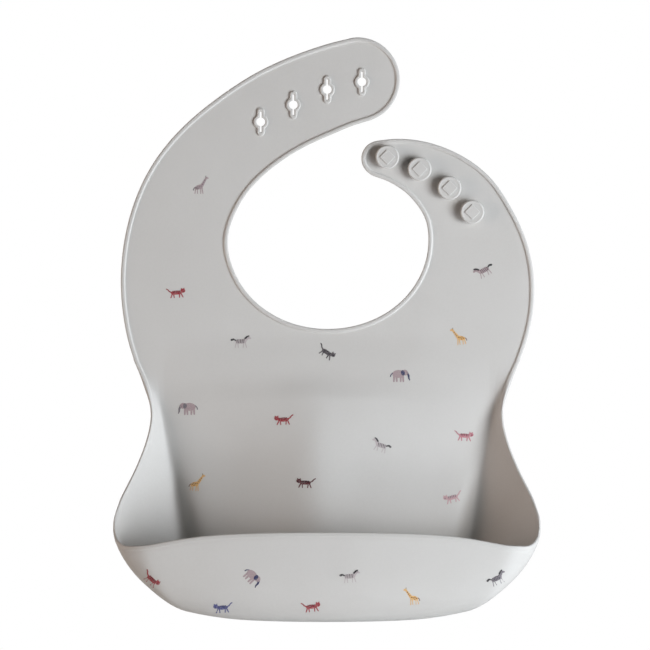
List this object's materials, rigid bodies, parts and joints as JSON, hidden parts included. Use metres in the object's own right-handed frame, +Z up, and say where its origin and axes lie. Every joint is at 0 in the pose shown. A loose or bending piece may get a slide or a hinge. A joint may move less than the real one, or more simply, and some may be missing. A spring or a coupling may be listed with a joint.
{
  "type": "silicone bib",
  "caption": "Soft silicone child's bib with a ring of neck straps that fasten stud to keyhole slot, and a standing crumb pocket across the bottom.",
  "frame": {"origin": "on the flat back of the chest panel, on the centreline, half way between the neck opening and the waist fold", "axes": "+X to the viewer's right, +Z up towards the straps, -Y out of the front; +Y is the back, which rests on the wearer's chest"},
  "size_m": [0.224, 0.0563, 0.3052],
  "materials": {
    "chest_panel": "satin",
    "slotted_strap_base": "satin",
    "slotted_strap_tip": "satin",
    "stud_strap_base": "satin",
    "stud_strap_tip": "satin",
    "stud_1": "satin",
    "stud_2": "satin",
    "stud_3": "satin",
    "stud_4": "satin",
    "pocket_back_panel": "satin",
    "pocket_left_wall": "satin",
    "pocket_right_wall": "satin",
    "pocket_front_wall": "satin"
  },
  "bodies": {
    "chest": {"chest_panel": "chest_panel"},
    "slotted_base": {"slotted_strap_base": "slotted_strap_base"},
    "slotted_tip": {"slotted_strap_tip": "slotted_strap_tip"},
    "stud_base": {"stud_strap_base": "stud_strap_base", "stud_3": "stud_3", "stud_4": "stud_4"},
    "stud_tip": {"stud_strap_tip": "stud_strap_tip", "stud_1": "stud_1", "stud_2": "stud_2"},
    "pocket_back": {"pocket_back_panel": "pocket_back_panel"},
    "pocket_left": {"pocket_left_wall": "pocket_left_wall"},
    "pocket_right": {"pocket_right_wall": "pocket_right_wall"},
    "pocket_front": {"pocket_front_wall": "pocket_front_wall"}
  },
  "joints": [
    {"name": "waist_fold", "type": "hinge", "parent": "chest", "child": "pocket_back", "pos_m": [0, -0.002, -0.008], "axis": [-1, 0, 0], "range_deg": [-15, 110]},
    {"name": "slotted_strap_bend", "type": "hinge", "parent": "chest", "child": "slotted_base", "pos_m": [-0.079, 0, 0.042], "axis": [-1, 0, 0], "range_deg": [-15, 90]},
    {"name": "slotted_strap_curl", "type": "hinge", "parent": "slotted_base", "child": "slotted_tip", "pos_m": [-0.05156, 0, 0.10364], "axis": [-0.7314, 0, 0.682], "range_deg": [-9, 54]},
    {"name": "stud_strap_bend", "type": "hinge", "parent": "chest", "child": "stud_base", "pos_m": [0.079, 0, 0.042], "axis": [-1, 0, 0], "range_deg": [-15, 90]},
    {"name": "stud_strap_curl", "type": "hinge", "parent": "stud_base", "child": "stud_tip", "pos_m": [0.05771, 0, 0.08797], "axis": [-0.866, 0, -0.5], "range_deg": [-9, 54]},
    {"name": "pocket_front_fold", "type": "hinge", "parent": "pocket_back", "child": "pocket_front", "pos_m": [0, -0.029, -0.134], "axis": [-1, 0, 0], "range_deg": [0, 30]},
    {"name": "pocket_left_fold", "type": "hinge", "parent": "pocket_back", "child": "pocket_left", "pos_m": [-0.08085, 0.0013, -0.0705], "axis": [0.1257, 0, -0.9921], "range_deg": [0, 18]},
    {"name": "pocket_right_fold", "type": "hinge", "parent": "pocket_back", "child": "pocket_right", "pos_m": [0.08085, 0.0013, -0.0705], "axis": [0.1257, 0, 0.9921], "range_deg": [0, 18]}
  ],
  "couplings": [
    {"joint": "slotted_strap_curl", "follows": "slotted_strap_bend", "ratio": 0.6},
    {"joint": "stud_strap_curl", "follows": "stud_strap_bend", "ratio": 0.6},
    {"joint": "pocket_left_fold", "follows": "pocket_front_fold", "ratio": 0.6},
    {"joint": "pocket_right_fold", "follows": "pocket_front_fold", "ratio": 0.6}
  ]
}
